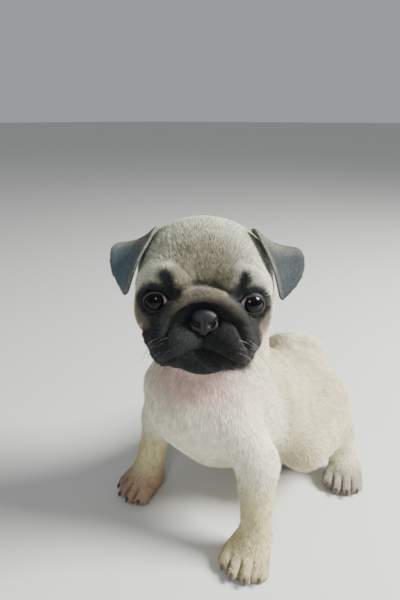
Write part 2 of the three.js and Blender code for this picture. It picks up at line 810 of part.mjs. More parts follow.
// Materials, with the coat's and the skin's colours
const finishes = {
  fawn_coat: { color: 0xcfbb9c, roughness: 0.85 },
  mask_coat: { color: 0x2c2624, roughness: 0.8 },
  ear_velvet: { color: 0x34383a, roughness: 0.7 },
  nose_leather: { color: 0x17161a, roughness: 0.4 },
  eye_gloss: { color: 0x120c0a, roughness: 0.08 },
  claw_horn: { color: 0x2b2522, roughness: 0.45 },
};
const materials = Object.fromEntries(
  Object.entries(finishes).map(([name, finish]) => [
    name,
    new THREE.MeshStandardMaterial({ name, metalness: 0, ...finish }),
  ]),
);

const puppy = new THREE.Group();

function show(name, solid, finish) {
  const mesh = new THREE.Mesh(geometryOf(solid), materials[finish]);
  mesh.name = name;
  puppy.add(mesh);
}

const { skull, muzzle } = headNodes();
show("head", skull, "fawn_coat");
show("muzzle", muzzle, "mask_coat");
const noseSolid = both(nostril).reduce(
  (solid, cutter) => solid.subtract(cutter),
  surfaceOf(noseInBody, noseGrid(NOSE_STEP), headPose),
);
show("nose", largest(noseSolid), "nose_leather");
for (const [name, side] of [["left", 1], ["right", -1]]) {
  show(`eye_${name}`, eyeSolid(side), "eye_gloss");
  show(`ear_${name}`, largest(earSolid(side, EAR_FLARE[name]).subtract(earClear)), "ear_velvet");
}

const nodes = bodyNodes();
for (const [name, solid] of Object.entries(nodes)) show(name, largest(solid), "fawn_coat");

const tailGrid = evenGrid([-50, 80, 60], [30, 175, 150], TAIL_STEP);
const bodyClear = surfaceOf(
  grown(wholeField, GAP + 0.25),
  evenGrid([-62, 68, 44], [50, 190, 165], TAIL_STEP * 1.3),
);
const tail = surfaceOf(tailField, tailGrid);
show("tail", largest(tail.subtract(bodyClear)), "fawn_coat");

for (const [name, paw] of Object.entries(paws)) {
  const clear = surfaceOf(grown(paw.field, GAP), pawGrid(paw));
  toePlaces.forEach((toe, i) => {
    show(`claw_${name}_${i + 1}`, largest(clawSolid(paw, toe).subtract(clear)), "claw_horn");
  });
}

// The origin goes to the floor under the middle of the bounding box
const bounds = new THREE.Box3().setFromObject(puppy);
const middle = bounds.getCenter(at(0, 0, 0));
puppy.position.set(-middle.x, -middle.y, -bounds.min.z);

export default puppy;
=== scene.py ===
# %% [markdown]
# # A sitting pug puppy
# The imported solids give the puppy's true outline. This lesson dresses them: one soft skin over the
# flesh, a short coat of small tufts, wet eyes, a pebbled nose, velvet ears, claws and whiskers.
# Everything is in metres. +X is the puppy's left, -Y is where its chest faces and +Z is up.

import math

import bpy
import numpy as np
from mathutils import Matrix, Vector


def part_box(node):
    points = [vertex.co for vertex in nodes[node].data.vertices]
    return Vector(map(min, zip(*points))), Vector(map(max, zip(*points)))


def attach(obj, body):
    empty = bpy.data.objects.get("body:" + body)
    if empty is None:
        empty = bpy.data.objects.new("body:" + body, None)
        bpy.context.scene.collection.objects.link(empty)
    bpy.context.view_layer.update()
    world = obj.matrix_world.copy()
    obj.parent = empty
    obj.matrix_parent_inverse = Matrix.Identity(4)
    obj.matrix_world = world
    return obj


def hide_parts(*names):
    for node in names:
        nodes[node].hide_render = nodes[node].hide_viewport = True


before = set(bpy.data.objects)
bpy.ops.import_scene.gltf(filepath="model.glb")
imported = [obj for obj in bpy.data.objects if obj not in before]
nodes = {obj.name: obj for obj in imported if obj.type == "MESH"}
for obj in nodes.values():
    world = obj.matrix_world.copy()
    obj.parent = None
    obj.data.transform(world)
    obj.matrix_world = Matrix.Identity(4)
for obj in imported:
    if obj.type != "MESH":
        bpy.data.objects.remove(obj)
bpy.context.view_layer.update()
MM = 0.001
chance = np.random.default_rng(7)
print("solids:", len(nodes))

# %% [markdown]
# ## Where the head is
# The head is turned and tilted, so the face is easiest to shape in the head's own frame. Its origin
# lies between the two eyeballs, x runs to the puppy's left and -y is where it looks. The middle of
# the eyes' boxes gives the origin, and the turn is the one that the solids were made with.

# %% The head's own frame
HEAD_TURN = math.radians(40)
HEAD_ROLL = math.radians(2)
HEAD_PITCH = math.radians(-8)
EYES_BEHIND = 0.35 * MM


def middle_of(node):
    low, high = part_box(node)
    return (Vector(low) + Vector(high)) / 2


between_eyes = (middle_of("eye_left") + middle_of("eye_right")) / 2
eye_reach = (middle_of("eye_left") - middle_of("eye_right")).length / 2
head_turn = (
    Matrix.Rotation(HEAD_TURN, 4, "Z")
    @ Matrix.Rotation(HEAD_ROLL, 4, "Y")
    @ Matrix.Rotation(HEAD_PITCH, 4, "X")
)
head_frame = Matrix.Translation(between_eyes) @ head_turn @ Matrix.Translation((0, EYES_BEHIND, 0))
to_head = np.array(head_frame.inverted())
from_head = np.array(head_frame)


def in_head(points):
    """Points of the scene in the head's frame, in millimetres."""
    return (points @ to_head[:3, :3].T + to_head[:3, 3]) / MM


def out_of_head(points):
    """Points given in the head's frame in millimetres, in the scene."""
    return np.asarray(points, float) * MM @ from_head[:3, :3].T + from_head[:3, 3]


print("between the eyes:", [round(v, 4) for v in between_eyes], "half spacing", round(eye_reach, 4))

# %% [markdown]
# ## The camera
# The photograph looks down on the puppy by about 20 degrees from its front left, close up. A camera
# placed from the eyes keeps the framing whatever the solids' origin is.

# %% Camera
CAMERA_FROM_EYES = Vector((0.160, -0.194, 0.092))
LOOK_AZIMUTH = math.radians(40)
LOOK_DOWN = math.radians(20)
FOCAL_PIXELS = 500
PICTURE_HEIGHT = 600

camera_data = bpy.data.cameras.new("camera")
camera_data.sensor_fit = "VERTICAL"
camera_data.sensor_height = 24
camera_data.lens = camera_data.sensor_height * FOCAL_PIXELS / PICTURE_HEIGHT
camera_data.clip_start = 0.01
camera = bpy.data.objects.new("camera", camera_data)
bpy.context.scene.collection.objects.link(camera)
camera.location = between_eyes + CAMERA_FROM_EYES
camera.rotation_euler = (math.pi / 2 - LOOK_DOWN, 0, LOOK_AZIMUTH)
bpy.context.scene.camera = camera
print("camera at", [round(v, 3) for v in camera.location])

# %% [markdown]
# ## Small helpers
# Operators act on whatever is selected, so each step first takes hold of its own pieces.

# %% Helpers


def take(*pieces):
    """Selects these pieces alone and makes the first one active."""
    bpy.ops.object.select_all(action="DESELECT")
    for piece in pieces:
        piece.select_set(True)
    bpy.context.view_layer.objects.active = pieces[0]


def copy_of(node, name):
    """A node's mesh as a new piece, with its doubled corners merged."""
    piece = bpy.data.objects.new(name, nodes[node].data.copy())
    bpy.context.scene.collection.objects.link(piece)
    piece.data.materials.clear()
    take(piece)
    bpy.ops.object.mode_set(mode="EDIT")
    bpy.ops.mesh.select_all(action="SELECT")
    bpy.ops.mesh.remove_doubles(threshold=0.01 * MM)
    bpy.ops.object.mode_set(mode="OBJECT")
    return piece


def finish_with(piece, kind, **settings):
    """Adds a modifier with its settings and applies it."""
    modifier = piece.modifiers.new(kind.lower(), kind)
    for name, value in settings.items():
        setattr(modifier, name, value)
    take(piece)
    bpy.ops.object.modifier_apply(modifier=modifier.name)


def corners_of(mesh):
    flat = np.empty(len(mesh.vertices) * 3)
    mesh.vertices.foreach_get("co", flat)
    return flat.reshape(-1, 3)


def normals_of(mesh):
    flat = np.empty(len(mesh.vertices) * 3)
    mesh.vertices.foreach_get("normal", flat)
    return flat.reshape(-1, 3)


def move_corners(mesh, places):
    mesh.vertices.foreach_set("co", places.ravel())
    mesh.update()


def rise(value, low, high):
    """0 below low, 1 above high, and a soft step between."""
    share = np.clip((value - low) / (high - low), 0, 1)
    return share * share * (3 - 2 * share)


def within(points, centre, radii, soft=0.3):
    """1 inside an egg-shaped place and 0 outside it, with a soft edge."""
    away = np.sqrt((((points - np.array(centre)) / np.array(radii)) ** 2).sum(axis=1))
    return 1 - rise(away, 1 - soft, 1 + soft)


def distance_to(line, points):
    """How far each point is from a line of straight stretches."""
    best = np.full(len(points), 1e9)
    for start, end in zip(line[:-1], line[1:]):
        start = np.asarray(start, float)
        step = np.asarray(end, float) - start
        along = np.clip((points - start) @ step / (step @ step), 0, 1)
        best = np.minimum(best, np.linalg.norm(points - start - along[:, None] * step, axis=1))
    return best


# %% [markdown]
# ## One skin over the flesh
# Head, muzzle, neck, torso, legs, paws and tail are separate solids with hair-thin gaps. Swelling
# each a little closes the gaps, and a voxel remesh then makes one closed surface of them all. A
# boolean union would keep every facet; the remesh gives even, small faces that can be sculpted.

# %% Skin: joined, swollen and remeshed
FLESH = ["head", "muzzle", "neck", "torso", "tail"]
FLESH += [
    part + side
    for part in ("leg_front_", "leg_hind_", "paw_front_", "paw_hind_")
    for side in ("left", "right")
]
SWELL = 0.4 * MM
VOXEL = 1.5 * MM

pieces = [copy_of(node, "flesh_" + node) for node in FLESH]
take(*pieces)
bpy.ops.object.join()
skin = pieces[0]
skin.name = "skin"
finish_with(skin, "DISPLACE", strength=SWELL, mid_level=0)
finish_with(skin, "REMESH", mode="VOXEL", voxel_size=VOXEL, use_smooth_shade=True)
finish_with(skin, "SMOOTH", factor=0.5, iterations=3)
print("skin corners:", len(skin.data.vertices))

# %% [markdown]
# The solids' broad facets still show on the large forms. Many rounds of smoothing even them out, and
# a vertex group keeps that away from the face and the toes, whose forms are small.

# %% Skin: broad forms evened out
BROAD_ROUNDS = 60
GROUP_STEPS = 10
face_middle = np.array([0, 2, -12])


def fineness(points):
    """1 where the forms are small, on the face and the paws, and 0 on the trunk."""
    face = within(in_head(points), face_middle, (46, 34, 40), 0.25)
    foot = 1 - rise(points[:, 2] / MM, 17, 27)
    foot *= 1 - within(points / MM, (4, 55, 0), (40, 50, 60), 0.1)
    return np.maximum(face, foot)


def smooth_by(piece, name, weights, rounds):
    """Smooths a piece as strongly as each corner's weight says."""
    group = piece.vertex_groups.new(name=name)
    for level in range(1, GROUP_STEPS + 1):
        chosen = np.nonzero(np.round(weights * GROUP_STEPS) == level)[0]
        if len(chosen):
            group.add(chosen.tolist(), level / GROUP_STEPS, "REPLACE")
    finish_with(piece, "SMOOTH", factor=0.5, iterations=rounds, vertex_group=name)
    piece.vertex_groups.remove(piece.vertex_groups[name])


corners = corners_of(skin.data)
slender = rise(80 - corners[:, 2] / MM, 0, 20) * rise(-30 - corners[:, 1] / MM, 0, 10)
smooth_by(skin, "broad", (1 - fineness(corners)) * (1 - 0.8 * slender), BROAD_ROUNDS)
print("rounds of smoothing on the trunk:", BROAD_ROUNDS)

# %% [markdown]
# The solids reach to the tips of the coat, so the skin is let down by the coat's depth: most on the
# trunk, hardly at all on the muzzle and toes, and not at all round the eyes, where the lids touch.

# %% Skin: let down by the coat's depth
TRUNK_DEPTH = 1.5
FINE_DEPTH = 0.45
EYE_RADIUS = 8.6
eye_spots = {side: np.array([side * eye_reach / MM, 0, 0]) for side in (1, -1)}


def coat_depth(points):
    """The coat's depth in millimetres."""
    head = in_head(points)
    depth = TRUNK_DEPTH - (TRUNK_DEPTH - FINE_DEPTH) * fineness(points)
    for spot in eye_spots.values():
        depth *= 1 - within(head, spot, (13, 13, 13), 0.25)
    return depth


corners = corners_of(skin.data)
depths = coat_depth(corners)
move_corners(skin.data, corners - normals_of(skin.data) * (depths[:, None] * MM + SWELL))
print("depth of the coat:", depths.min().round(2), "to", depths.max().round(2), "mm")

# %% [markdown]
# The face and the toes need smaller faces than the trunk before their folds can be drawn, so only
# their faces are divided. A finer remesh of everything would spend most of its faces on the trunk.

# %% Skin: finer on the face and the toes
TOE_TOP = 15


def face_front(points):
    return within(in_head(points), (0, -6, -8), (40, 22, 34), 0.02)


def toes(points):
    trunk = within(points / MM, (4, 55, 0), (40, 50, 60), 0.1)
    return (points[:, 2] / MM < TOE_TOP + 2) * (1 - trunk)


corners = corners_of(skin.data)
wanted = (face_front(corners) > 0.5) | (toes(corners) > 0.5)
take(skin)
skin.data.vertices.foreach_set("select", wanted)
edge_ends = np.empty(len(skin.data.edges) * 2, int)
skin.data.edges.foreach_get("vertices", edge_ends)
skin.data.edges.foreach_set("select", wanted[edge_ends.reshape(-1, 2)].all(axis=1))
inside = [all(wanted[corner] for corner in face.vertices) for face in skin.data.polygons]
skin.data.polygons.foreach_set("select", inside)
bpy.ops.object.mode_set(mode="EDIT")
bpy.ops.mesh.select_mode(type="VERT")
bpy.ops.mesh.subdivide(number_cuts=1, smoothness=0.3)
bpy.ops.object.mode_set(mode="OBJECT")
print("skin corners:", len(skin.data.vertices))

# %% [markdown]
# ## Folds
# A pug's face is loose skin. Each fold here is a line across the face, given in the head's frame by
# its x and z, along which the skin is pressed in or swollen out, with its width and its height. Only
# what faces forward moves.

# %% Face folds


def stroke(line, width, height, reach_back=24):
    """Raises the skin along a line by a height, or presses it in where that is below 0."""
    places = corners_of(skin.data)
    ways = normals_of(skin.data)
    head = in_head(places)
    forward = rise(-(ways @ from_head[:3, 1]), -0.35, 0.2) * (head[:, 1] < reach_back)
    away = distance_to(line, head[:, [0, 2]])
    amount = height * np.exp(-((away / width) ** 2)) * forward
    move_corners(skin.data, places + ways * amount[:, None] * MM)


def stroke_both(line, width, height):
    """The same fold on both sides of the face, as one line where it starts in the middle."""
    mirrored = [(-x, z) for x, z in line]
    if line[0][0] == 0:
        stroke(mirrored[::-1] + line[1:], width, height)
    else:
        stroke(line, width, height)
        stroke(mirrored, width, height)


nose_roll = [(0, 5.6), (7, 4.4), (13.5, 0.4), (20, -8.5), (25, -18)]
roll_top = [(0, 10.4), (6, 10), (11, 8), (16, 3.6), (19, 1.4)]
roll_foot = [(0, 0.8), (6.7, 0), (12.5, -4.4), (17, -9.7), (20.5, -17), (24, -24)]
folds = {
    "roll over the nose": (nose_roll, 3.2, 1.5),
    "crease above the roll": (roll_top, 1.3, -1.5),
    "crease below the roll": (roll_foot, 1.5, -2),
    "whisker pads": ([(6, -14), (13, -17), (20, -23)], 5, 0.9),
    "jowls": ([(16, -24), (20, -28)], 4, 0.7),
    "line of the mouth": ([(0, -22.3), (6, -23.4), (12, -26.4), (18, -30.2), (22, -33)], 1, -1.5),
    "groove under the nose": ([(0, -14.5), (0, -22)], 0.75, -1.1),
    "chin": ([(0, -29.5), (8, -31)], 4, 0.7),
    "corners of the jaw": ([(19, -37), (23, -34), (27, -29)], 4, -1.9),
    "edge of the chin": ([(0, -36), (7, -36), (14, -34.5)], 3.2, 0.9),
    "crease over the brow": ([(9, 14), (13, 18.8), (19.5, 21), (26, 18.2), (31, 13)], 1.2, -0.55),
    "brow": ([(13, 14.5), (19, 17.6), (27, 15.8), (34, 10.5)], 3, 0.5),
    "hollow beside the roll": ([(15, 5.5), (17.5, 9), (18.5, 14)], 2.4, -1.1),
    "frown": ([(4, 12.5), (6, 19)], 1.3, -0.45),
    "crease under the eye": ([(17, -6.5), (21, -10.2), (27, -11), (33, -7.5)], 1, -0.7),
    "crease of the cheek": ([(33.5, -3), (35.5, -12), (32, -22)], 1.2, -0.6),
}
for line, width, height in folds.values():
    stroke_both(line, width, height)
stroke([(-5, 24), (0, 25.5), (5, 24)], 1.3, -0.35)
print("folds:", len(folds) + 1)

# %% [markdown]
# The toes of a paw lie close together, with a deep crease between each two. The claws show where the
# toes end, so the creases run back from half-way between two claws.

# %% Creases between the toes
PAWS = [part + side for part in ("front_", "hind_") for side in ("left", "right")]
CREASE_LENGTH = 15
CREASE_DEPTH = 1.5
CREASE_WIDTH = 0.95

toe_creases = []
for paw in PAWS:
    tips = [np.array(middle_of(f"claw_{paw}_{i}")) / MM for i in (1, 2, 3, 4)]
    across = tips[3] - tips[0]
    back = np.array([-across[1], across[0]]) / np.hypot(across[0], across[1])
    for tip, other in zip(tips[:-1], tips[1:]):
        front = (tip + other)[:2] / 2
        lean = (front - (tips[0] + tips[3])[:2] / 2) * 0.25
        toe_creases.append([front - back * 3, front + back * CREASE_LENGTH - lean])


def crease_distance(points):
    """How far each point is from the nearest toe crease, seen from above."""
    at = points[:, :2] / MM
    return np.min([distance_to(line, at) for line in toe_creases], axis=0)


places = corners_of(skin.data)
ways = normals_of(skin.data)
low = 1 - rise(places[:, 2] / MM, 9, TOE_TOP)
press = CREASE_DEPTH * np.exp(-((crease_distance(places) / CREASE_WIDTH) ** 2))
press *= low * rise(ways[:, 2], -0.6, 0.1)
move_corners(skin.data, places - ways * press[:, None] * MM)
print("creases between toes:", len(toe_creases))

# %% [markdown]
# ## Eye openings
# Each eye looks a little outward. The skin is kept off the eyeball, and where the eye is open it is
# tucked in behind the ball's surface. The lids, a separate ring, cover the edge between the two.

# %% Skin round the eyes
OPEN_OUT = math.radians(9)
OPEN_WIDE = 0.71
OPEN_UP = 0.47
OPEN_DOWN = 0.52
TUCKED_MARGIN = 0.12
OFF_BALL = 0.5
BEHIND_BALL = 1.2


def eye_axes(side):
    """The eye opening's own directions in the head's frame: outward, up and ahead."""
    ahead = np.array([side * math.sin(OPEN_OUT), -math.cos(OPEN_OUT), 0.02])
    ahead /= np.linalg.norm(ahead)
    outward = np.cross([0, 0, side], ahead)
    outward /= -np.linalg.norm(outward)
    return outward, np.cross(outward, ahead) * -side, ahead


def opening(angle):
    """How far the eye is open each way round, as an angle at the ball's middle. 0 is outward."""
    tall = np.where(np.sin(angle) > 0, OPEN_UP, OPEN_DOWN)
    edge = 1 / np.sqrt((np.cos(angle) / OPEN_WIDE) ** 2 + (np.sin(angle) / tall) ** 2)
    corner = np.exp(-(((np.abs(angle) - math.pi) / 0.28) ** 2)) * 0.1
    return edge + corner + np.exp(-((angle / 0.25) ** 2)) * 0.04


def seen_from_eye(head, side):
    """Steps and distances from an eyeball, and the angles off and round its opening's axis."""
    outward, upward, ahead = eye_axes(side)
    off = head - eye_spots[side]
    away = np.maximum(np.linalg.norm(off, axis=1), 0.1)
    turned = np.arccos(np.clip(off @ ahead / away, -1, 1))
    return off, away, turned, np.arctan2(off @ upward, off @ outward)


places = corners_of(skin.data)
head = in_head(places)
for side, spot in eye_spots.items():
    off, away, turned, around = seen_from_eye(head, side)
    open_here = turned < opening(around) + TUCKED_MARGIN
    near = away < EYE_RADIUS + 5
    reach = np.maximum(away, EYE_RADIUS + OFF_BALL)
    reach = np.where(open_here & near, EYE_RADIUS - BEHIND_BALL, reach)
    head = spot + off * (reach / away)[:, None]
move_corners(skin.data, out_of_head(head))
skin.data.calc_loop_triangles()
print("skin triangles:", len(skin.data.loop_triangles))

# %% [markdown]
# ## Markings
# Fawn above, cream on the chest, a black mask with thumb marks over the eyes. The same function
# colours the skin and every tuft of the coat, so they always agree.

# %% Colours of the coat


def tone(red, green, blue):
    """A colour as seen on a screen, from 0 to 255, as light."""
    return np.array([(v / 255) ** 2.2 for v in (red, green, blue)])


FAWN = tone(204, 196, 162)
PALE_FAWN = tone(207, 196, 150)
CREAM = tone(229, 226, 205)
SADDLE = tone(185, 172, 143)
CROWN_GREY = tone(174, 178, 159)
FOREHEAD = tone(119, 112, 95)
BROW_GREY = tone(192, 190, 174)
ROLL_BROWN = tone(104, 97, 85)
CHEEK = tone(206, 194, 176)
THROAT = tone(204, 171, 162)
MASK = tone(28, 33, 35)
MASK_DEEPENED_ON_LIT_SIDE = tone(10, 11, 13)
UNDER_EYE = tone(62, 50, 43)
TOE = tone(176, 158, 138)
PINK_TOE = tone(170, 136, 120)
GREY_TOE = tone(146, 142, 130)
TOE_CREASE_SHADE = tone(66, 52, 46)
MOLE = tone(40, 34, 32)
MOLE_PLACE = (46, 5, 78)
tail_line = [(4, 80, 60), (9, 90, 74), (10, 83, 90), (5, 69, 99)]
tail_line += [(-4, 57, 103), (-14, 54, 102), (-21, 60, 97)]


def halves(head):
    """How far to the side and how high each point is, alike for both halves of the head."""
    return np.column_stack((np.abs(head[:, 0]), head[:, 2]))


def toward(colour, other, share):
    """A colour moved toward another by a share."""
    return colour + (other - colour) * np.clip(share, 0, 1)[:, None]

# %% [markdown]
# Each colour is laid over the one before it by a share with a soft edge, as on a real coat. The body
# comes first, from its back to its feet.

# %% Colours of the body


def body_colours(points):
    """Fawn, darker along the spine, cream in front and below, and paler or greyer feet."""
    at = points / MM
    colour = np.tile(FAWN, (len(points), 1))
    spine = np.abs(at[:, 0] - 0.085 * at[:, 1])
    colour = toward(colour, SADDLE, 0.55 * (1 - rise(spine, 6, 30)) * rise(at[:, 1], -20, 10))
    chest = rise(-at[:, 1], 14, 46) * rise(at[:, 2], 34, 66)
    colour = toward(colour, CREAM, chest)
    colour = toward(colour, CREAM, 0.2 * (1 - rise(at[:, 2], 24, 60)) * rise(at[:, 1], -40, 10))
    colour = toward(colour, CREAM, 0.8 * within(at, (36, -16, 90), (12, 8, 60), 0.6))
    colour = toward(colour, SADDLE, 0.6 * within(at, (40, -2, 94), (14, 8, 50), 0.6))
    colour = toward(colour, CREAM, 0.4 * (1 - rise(distance_to(tail_line, at), 8, 11)))
    legs = (1 - rise(at[:, 2], 38, 70)) * rise(-at[:, 1], 20, 34)
    colour = toward(colour, PALE_FAWN, 0.9 * legs)
    colour = toward(colour, TOE, (0.5 + 0.3 * (at[:, 1] > 0)) * (1 - rise(at[:, 2], 5, 18)))
    colour = toward(colour, GREY_TOE, 0.8 * (at[:, 1] > 0) * (1 - rise(at[:, 2], 8, 24)))
    pink = (at[:, 0] < -20) * (at[:, 1] < -20) * (1 - rise(at[:, 2], 12, 30))
    colour = toward(colour, PINK_TOE, 0.8 * pink)
    # Painted shade: the creases between the toes are darkened where shade falls between them.
    crease = np.exp(-((crease_distance(points) / 0.9) ** 2)) * (1 - rise(at[:, 2], 8, 15))
    colour = toward(colour, TOE_CREASE_SHADE, 0.85 * crease)
    return toward(colour, MOLE, within(at, MOLE_PLACE, (1.6, 1.6, 1.6), 0.4))

# %% [markdown]
# The marks of the face are placed in the head's frame. Those that show from the front only are
# measured flat, without how far forward a point is.

# %% Colours of the face
FLAT = np.array([1, 0, 1])


def mask_at(head, front):
    """The share of black: muzzle and jowls, out to an edge on the cheeks, and round the nose."""
    edge = np.interp(head[:, 2], [-36, -24, -14, -6, 2], [31, 32, 29.5, 31.5, 33])
    edge += (5.5 * rise(-head[:, 2], 12, 20) - 2) * (head[:, 0] < 0)
    black = 1 - rise(np.abs(head[:, 0]) - edge, -1.5, 1.5)
    black *= (1 - rise(head[:, 1], 9, 16)) * (1 - rise(head[:, 2], -8, 0))
    black *= rise(head[:, 2], -42, -39)
    return np.maximum(black, within(head * FLAT, (0, 0, -4), (21, 1, 8), 0.25) * front)


def round_the_eye(colour, head, side, front):
    """Cheek, pale brow, brown below the eye, the eye's black ring and the thumb mark over it."""
    flat = head * FLAT
    off = flat - eye_spots[side] * FLAT
    away = np.linalg.norm(off, axis=1)
    colour = toward(colour, CHEEK, within(head, (side * 35, 14, -14), (13, 16, 22), 0.5))
    brow = distance_to([(18, 18.5), (26, 17), (32, 12.5), (37, 7)], flat[:, [0, 2]] * [side, 1])
    colour = toward(colour, BROW_GREY, 0.8 * np.exp(-((brow / 2.8) ** 2)) * front)
    below = within(flat, (side * 27, 0, -9), (11.5, 1, 12), 0.35)
    colour = toward(colour, UNDER_EYE, 0.9 * below * front)
    edge = 9.6 - 1.2 * rise(off[:, 2], 0, 6)
    colour = toward(colour, MASK, (1 - rise(away - edge, 0, 3)) * front)
    thumb = distance_to([(13.5, 3.5), (16.5, 8), (19.5, 13.5)], flat[:, [0, 2]] * [side, 1])
    return toward(colour, MASK, (1 - rise(thumb, 1.8, 4.8)) * front)

# %% [markdown]
# Together they are the markings, stored at every corner of the skin. The skin is painted darker than
# the tufts over it: painted shade deep in the coat, which gives the coat its depth.

# %% Markings of the whole puppy
# Painted shade: the skin under the coat is darkened as if in the coat's shade.
SHADE_PAINTED_UNDER_COAT = 0.8


def markings(points):
    """The coat's colour at each point: the body's, and over it what is on the head."""
    at = points / MM
    head = in_head(points)
    front = 1 - rise(head[:, 1], 8, 24)
    colour = body_colours(points)
    on_head = within(head, (0, 22, 8), (50, 46, 48), 0.12)
    colour = toward(colour, CROWN_GREY, on_head * (1 - 0.85 * rise(head[:, 1], 14, 46)))
    colour = toward(colour, THROAT, 0.9 * within(head, (0, 20, -48), (26, 28, 17), 0.5))
    colour = toward(colour, THROAT, 0.55 * within(at, (8, -44, 104), (22, 20, 20), 0.6))
    brow = within(head * FLAT, (0, 0, 16), (24, 1, 18), 0.45)
    colour = toward(colour, FOREHEAD, 0.95 * brow * front)
    # Painted shade: a dark band on the crown along the ear's inner edge, where the ear shades the
    # head.
    painted_shade_beside_ear = distance_to([(25, 36), (29, 32), (33, 26)], halves(head))
    colour = toward(colour, FOREHEAD, 0.9 * np.exp(-((painted_shade_beside_ear / 3) ** 2)) * rise(head[:, 1], 6, 12))
    for side in (1, -1):
        colour = round_the_eye(colour, head, side, front)
    black = mask_at(head, front)
    colour = toward(colour, MASK, black)
    # Painted shade: the black is made deeper on the puppy's left, the side turned to the key light.
    colour = toward(colour, MASK_DEEPENED_ON_LIT_SIDE, black * rise(head[:, 0], -2, 14))
    fold = halves(head)
    on_roll = np.exp(-((distance_to(nose_roll[:4], fold) / 3.0) ** 2))
    on_roll *= 1 - 0.75 * rise(fold[:, 0], 6, 22)
    colour = toward(colour, ROLL_BROWN, 0.85 * on_roll * front)
    # Painted shade: the creases above and below the nose roll are darkened toward black.
    painted_shade_in_folds = np.exp(-((distance_to(roll_top, fold) / 1.1) ** 2))
    painted_shade_in_folds = np.maximum(painted_shade_in_folds, np.exp(-((distance_to(roll_foot, fold) / 2.2) ** 2)))
    return toward(colour, MASK, 0.8 * painted_shade_in_folds * front)


def paint(mesh, colours, name="coat_colour"):
    """Stores a colour at every corner of a mesh."""
    layer = mesh.color_attributes.new(name, "FLOAT_COLOR", "POINT")
    full = np.ones((len(colours), 4))
    full[:, :3] = colours
    layer.data.foreach_set("color", full.ravel())


# The skin gets the markings with painted shade under the coat.
paint(skin.data, markings(corners_of(skin.data)) * SHADE_PAINTED_UNDER_COAT)
print("painted corners:", len(skin.data.vertices))

# %% [markdown]
# ## Materials
# The finishes share a few parts: a noise on the piece's own place, a blend of two tones, and a
# relief.

# %% Parts of a finish


def new_material(name):
    material = bpy.data.materials.new(name)
    material.use_nodes = True
    tree = material.node_tree
    return material, tree, tree.nodes["Principled BSDF"]


def link(tree, source, target):
    tree.links.new(source, target)


def add_node(tree, kind, **settings):
    node = tree.nodes.new(kind)
    for name, value in settings.items():
        if name in node.inputs:
            node.inputs[name].default_value = value
        else:
            setattr(node, name, value)
    return node


def noise(tree, scale, detail=2.0, roughness=0.5):
    """A noise over the piece's own place."""
    place = add_node(tree, "ShaderNodeTexCoord")
    texture = add_node(tree, "ShaderNodeTexNoise", Scale=scale, Detail=detail, Roughness=roughness)
    link(tree, place.outputs["Object"], texture.inputs["Vector"])
    return texture.outputs["Fac"]


def two_tones(tree, shader, source, low_tone, high_tone, low=0.0, high=1.0):
    """Colours a shader from one tone to another as a value goes from low to high."""
    shades = add_node(tree, "ShaderNodeValToRGB")
    for stop, position, colour in zip(
        shades.color_ramp.elements, (low, high), (low_tone, high_tone)
    ):
        stop.position = position
        stop.color = (*colour, 1)
    link(tree, source, shades.inputs["Fac"])
    link(tree, shades.outputs["Color"], shader.inputs["Base Color"])


def raised(tree, shader, source, strength, depth):
    """Gives a shader a relief from a value, with its depth in millimetres."""
    relief = add_node(tree, "ShaderNodeBump", Strength=strength, Distance=depth * MM)
    link(tree, source, relief.inputs["Height"])
    link(tree, relief.outputs["Normal"], shader.inputs["Normal"])

# %% [markdown]
# Skin and coat read the stored colour. A coarse noise makes clumps of lighter and darker hair, and a
# fine one the relief of single hairs. Sheen gives the soft edge light that fur has.

# %% Fur material


def fur_material(name, fleck, bump, roughness=0.8, sheen=0.08):
    """The stored colour with lighter and darker clumps and the relief of fine hairs."""
    material, tree, shader = new_material(name)
    stored = add_node(tree, "ShaderNodeAttribute", attribute_name="coat_colour")
    lights = add_node(tree, "ShaderNodeMapRange")
    lights.inputs["From Min"].default_value = 0.3
    lights.inputs["From Max"].default_value = 0.7
    lights.inputs["To Min"].default_value = 1 - fleck
    lights.inputs["To Max"].default_value = 1 + fleck
    link(tree, noise(tree, 160.0), lights.inputs["Value"])
    shade = add_node(tree, "ShaderNodeVectorMath", operation="SCALE")
    link(tree, stored.outputs["Color"], shade.inputs[0])
    link(tree, lights.outputs["Result"], shade.inputs["Scale"])
    link(tree, shade.outputs["Vector"], shader.inputs["Base Color"])
    raised(tree, shader, noise(tree, 900.0, 3.0, 0.7), bump, 0.4)
    shader.inputs["Roughness"].default_value = roughness
    shader.inputs["Sheen Weight"].default_value = sheen
    shader.inputs["Specular IOR Level"].default_value = 0.25
    return material


skin_finish = fur_material("short undercoat over skin", 0.16, 0.9)
skin.data.materials.clear()
skin.data.materials.append(skin_finish)
take(skin)
bpy.ops.object.shade_smooth()
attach(skin, "root")
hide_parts(*FLESH)

# %% [markdown]
# ## Ears
# Small folded flaps of slate-grey velvet. The solids' flaps have the right fold and outline, so each
# is taken over, swollen a little, remeshed fine and smoothed, which rounds its edge.

# %% Ears
EAR = tone(47, 54, 57)
EAR_PAINTED_LIGHTER_IN_SHADE = tone(82, 98, 102)
EAR_RIM = tone(112, 112, 106)
EAR_BASE = tone(164, 156, 136)
EAR_SWELL = 0.7 * MM
EAR_VOXEL = 0.6 * MM
EAR_ROUNDS = 45


def ear_colour(points):
    """Fawn where the ear leaves the crown, slate grey beyond it, and paler along the inner edge."""
    head = in_head(points)
    top = rise(head[:, 2], 20, 37) * rise(head[:, 1], 6, 22)
    # Painted light: the puppy's right ear, which the key light leaves in shade, is given a lighter
    # grey.
    colour = toward(np.tile(EAR, (len(points), 1)), EAR_PAINTED_LIGHTER_IN_SHADE, rise(-head[:, 0], -4, 4))
    colour = toward(colour, EAR_BASE, 0.75 * top)
    inner = [(22, 36), (28.5, 37), (30, 33), (33.5, 27), (37.5, 18), (40.5, 9), (42.5, 2)]
    rim = distance_to(inner, halves(head))
    return toward(colour, EAR_RIM, 0.8 * np.exp(-((rim / 1.3) ** 2)) * (1 - rise(head[:, 1], 14, 20)))


